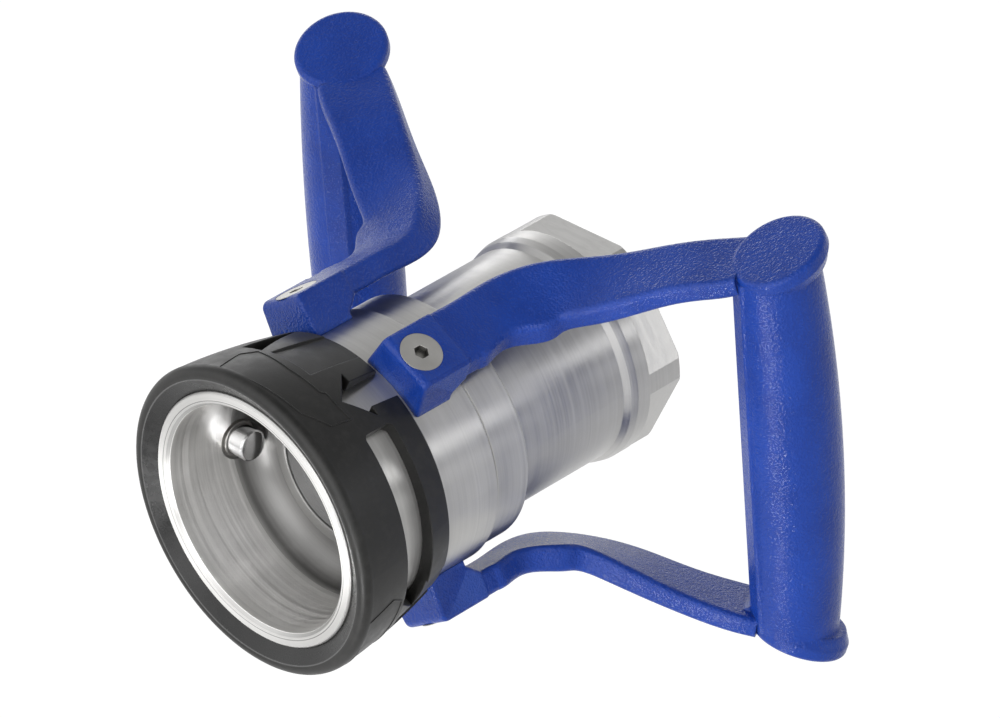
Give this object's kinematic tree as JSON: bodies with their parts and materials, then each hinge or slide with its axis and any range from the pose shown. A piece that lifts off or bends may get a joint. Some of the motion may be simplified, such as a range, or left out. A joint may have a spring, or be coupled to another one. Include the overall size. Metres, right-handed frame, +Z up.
{
  "type": "dry disconnect coupling",
  "caption": "Dry disconnect hose coupling with a rubber-bumpered mouth, rollers in the cup, a sprung shut-off sleeve, a swivelling threaded tail and upright grips on bent arms.",
  "frame": {"origin": "centre of the mouth ring's front face, on the coupling axis", "axes": "+Y along the coupling axis, from the mouth towards the hose; +Z up, along the grips; +X to the right, from one grip to the other"},
  "size_m": [0.3132, 0.2123, 0.211],
  "materials": {
    "stainless": "turned satin stainless steel",
    "bright_steel": "bright turned stainless steel",
    "spring_steel": "drawn spring steel",
    "bumper_rubber": "satin moulded polyurethane",
    "blue_paint": "blue powder coat with fine orange peel",
    "seal_rubber": "smooth seal rubber",
    "gasket": "plain sealing gasket"
  },
  "bodies": {
    "tail": {"hose_tail": "stainless", "ball_plugs": "bright_steel", "swivel_wiper": "seal_rubber", "hose_gasket": "gasket"},
    "shell": {"body": "stainless", "bumper_ring": "bumper_rubber", "handle_right": "blue_paint", "handle_left": "blue_paint", "handle_screws": "bright_steel", "roller_stud_1": "bright_steel", "roller_stud_2": "bright_steel", "roller_stud_3": "bright_steel", "roller_clips": "spring_steel", "nose_seal": "seal_rubber", "valve_disc": "stainless", "disc_seal": "seal_rubber", "cage": "stainless", "cage_circlip": "spring_steel", "stem_nut": "bright_steel", "return_spring": "spring_steel", "swivel_seal": "seal_rubber", "front_balls": "bright_steel", "rear_balls": "bright_steel"},
    "sleeve": {"sleeve": "stainless", "collar_seal": "seal_rubber"},
    "roller_1": {"roller_1": "bright_steel"},
    "roller_2": {"roller_2": "bright_steel"},
    "roller_3": {"roller_3": "bright_steel"}
  },
  "joints": [
    {"name": "swivel", "type": "hinge", "parent": "tail", "child": "shell", "pos_m": [0, 0.098, 0], "axis": [0, 1, 0], "continuous": true},
    {"name": "sleeve_slide", "type": "slide", "parent": "shell", "child": "sleeve", "axis": [0, 1, 0], "range_m": [0, 0.014], "stiffness_N_per_m": 700, "springref_m": -0.03, "deforming": ["return_spring"]},
    {"name": "roller_1_spin", "type": "hinge", "parent": "shell", "child": "roller_1", "pos_m": [0.02325, 0.0405, 0.04027], "axis": [0.5, 0, 0.866], "continuous": true},
    {"name": "roller_2_spin", "type": "hinge", "parent": "shell", "child": "roller_2", "pos_m": [0.02325, 0.0405, -0.04027], "axis": [0.5, 0, -0.866], "continuous": true},
    {"name": "roller_3_spin", "type": "hinge", "parent": "shell", "child": "roller_3", "pos_m": [-0.0465, 0.0405, 0], "axis": [-1, 0, 0], "continuous": true}
  ]
}
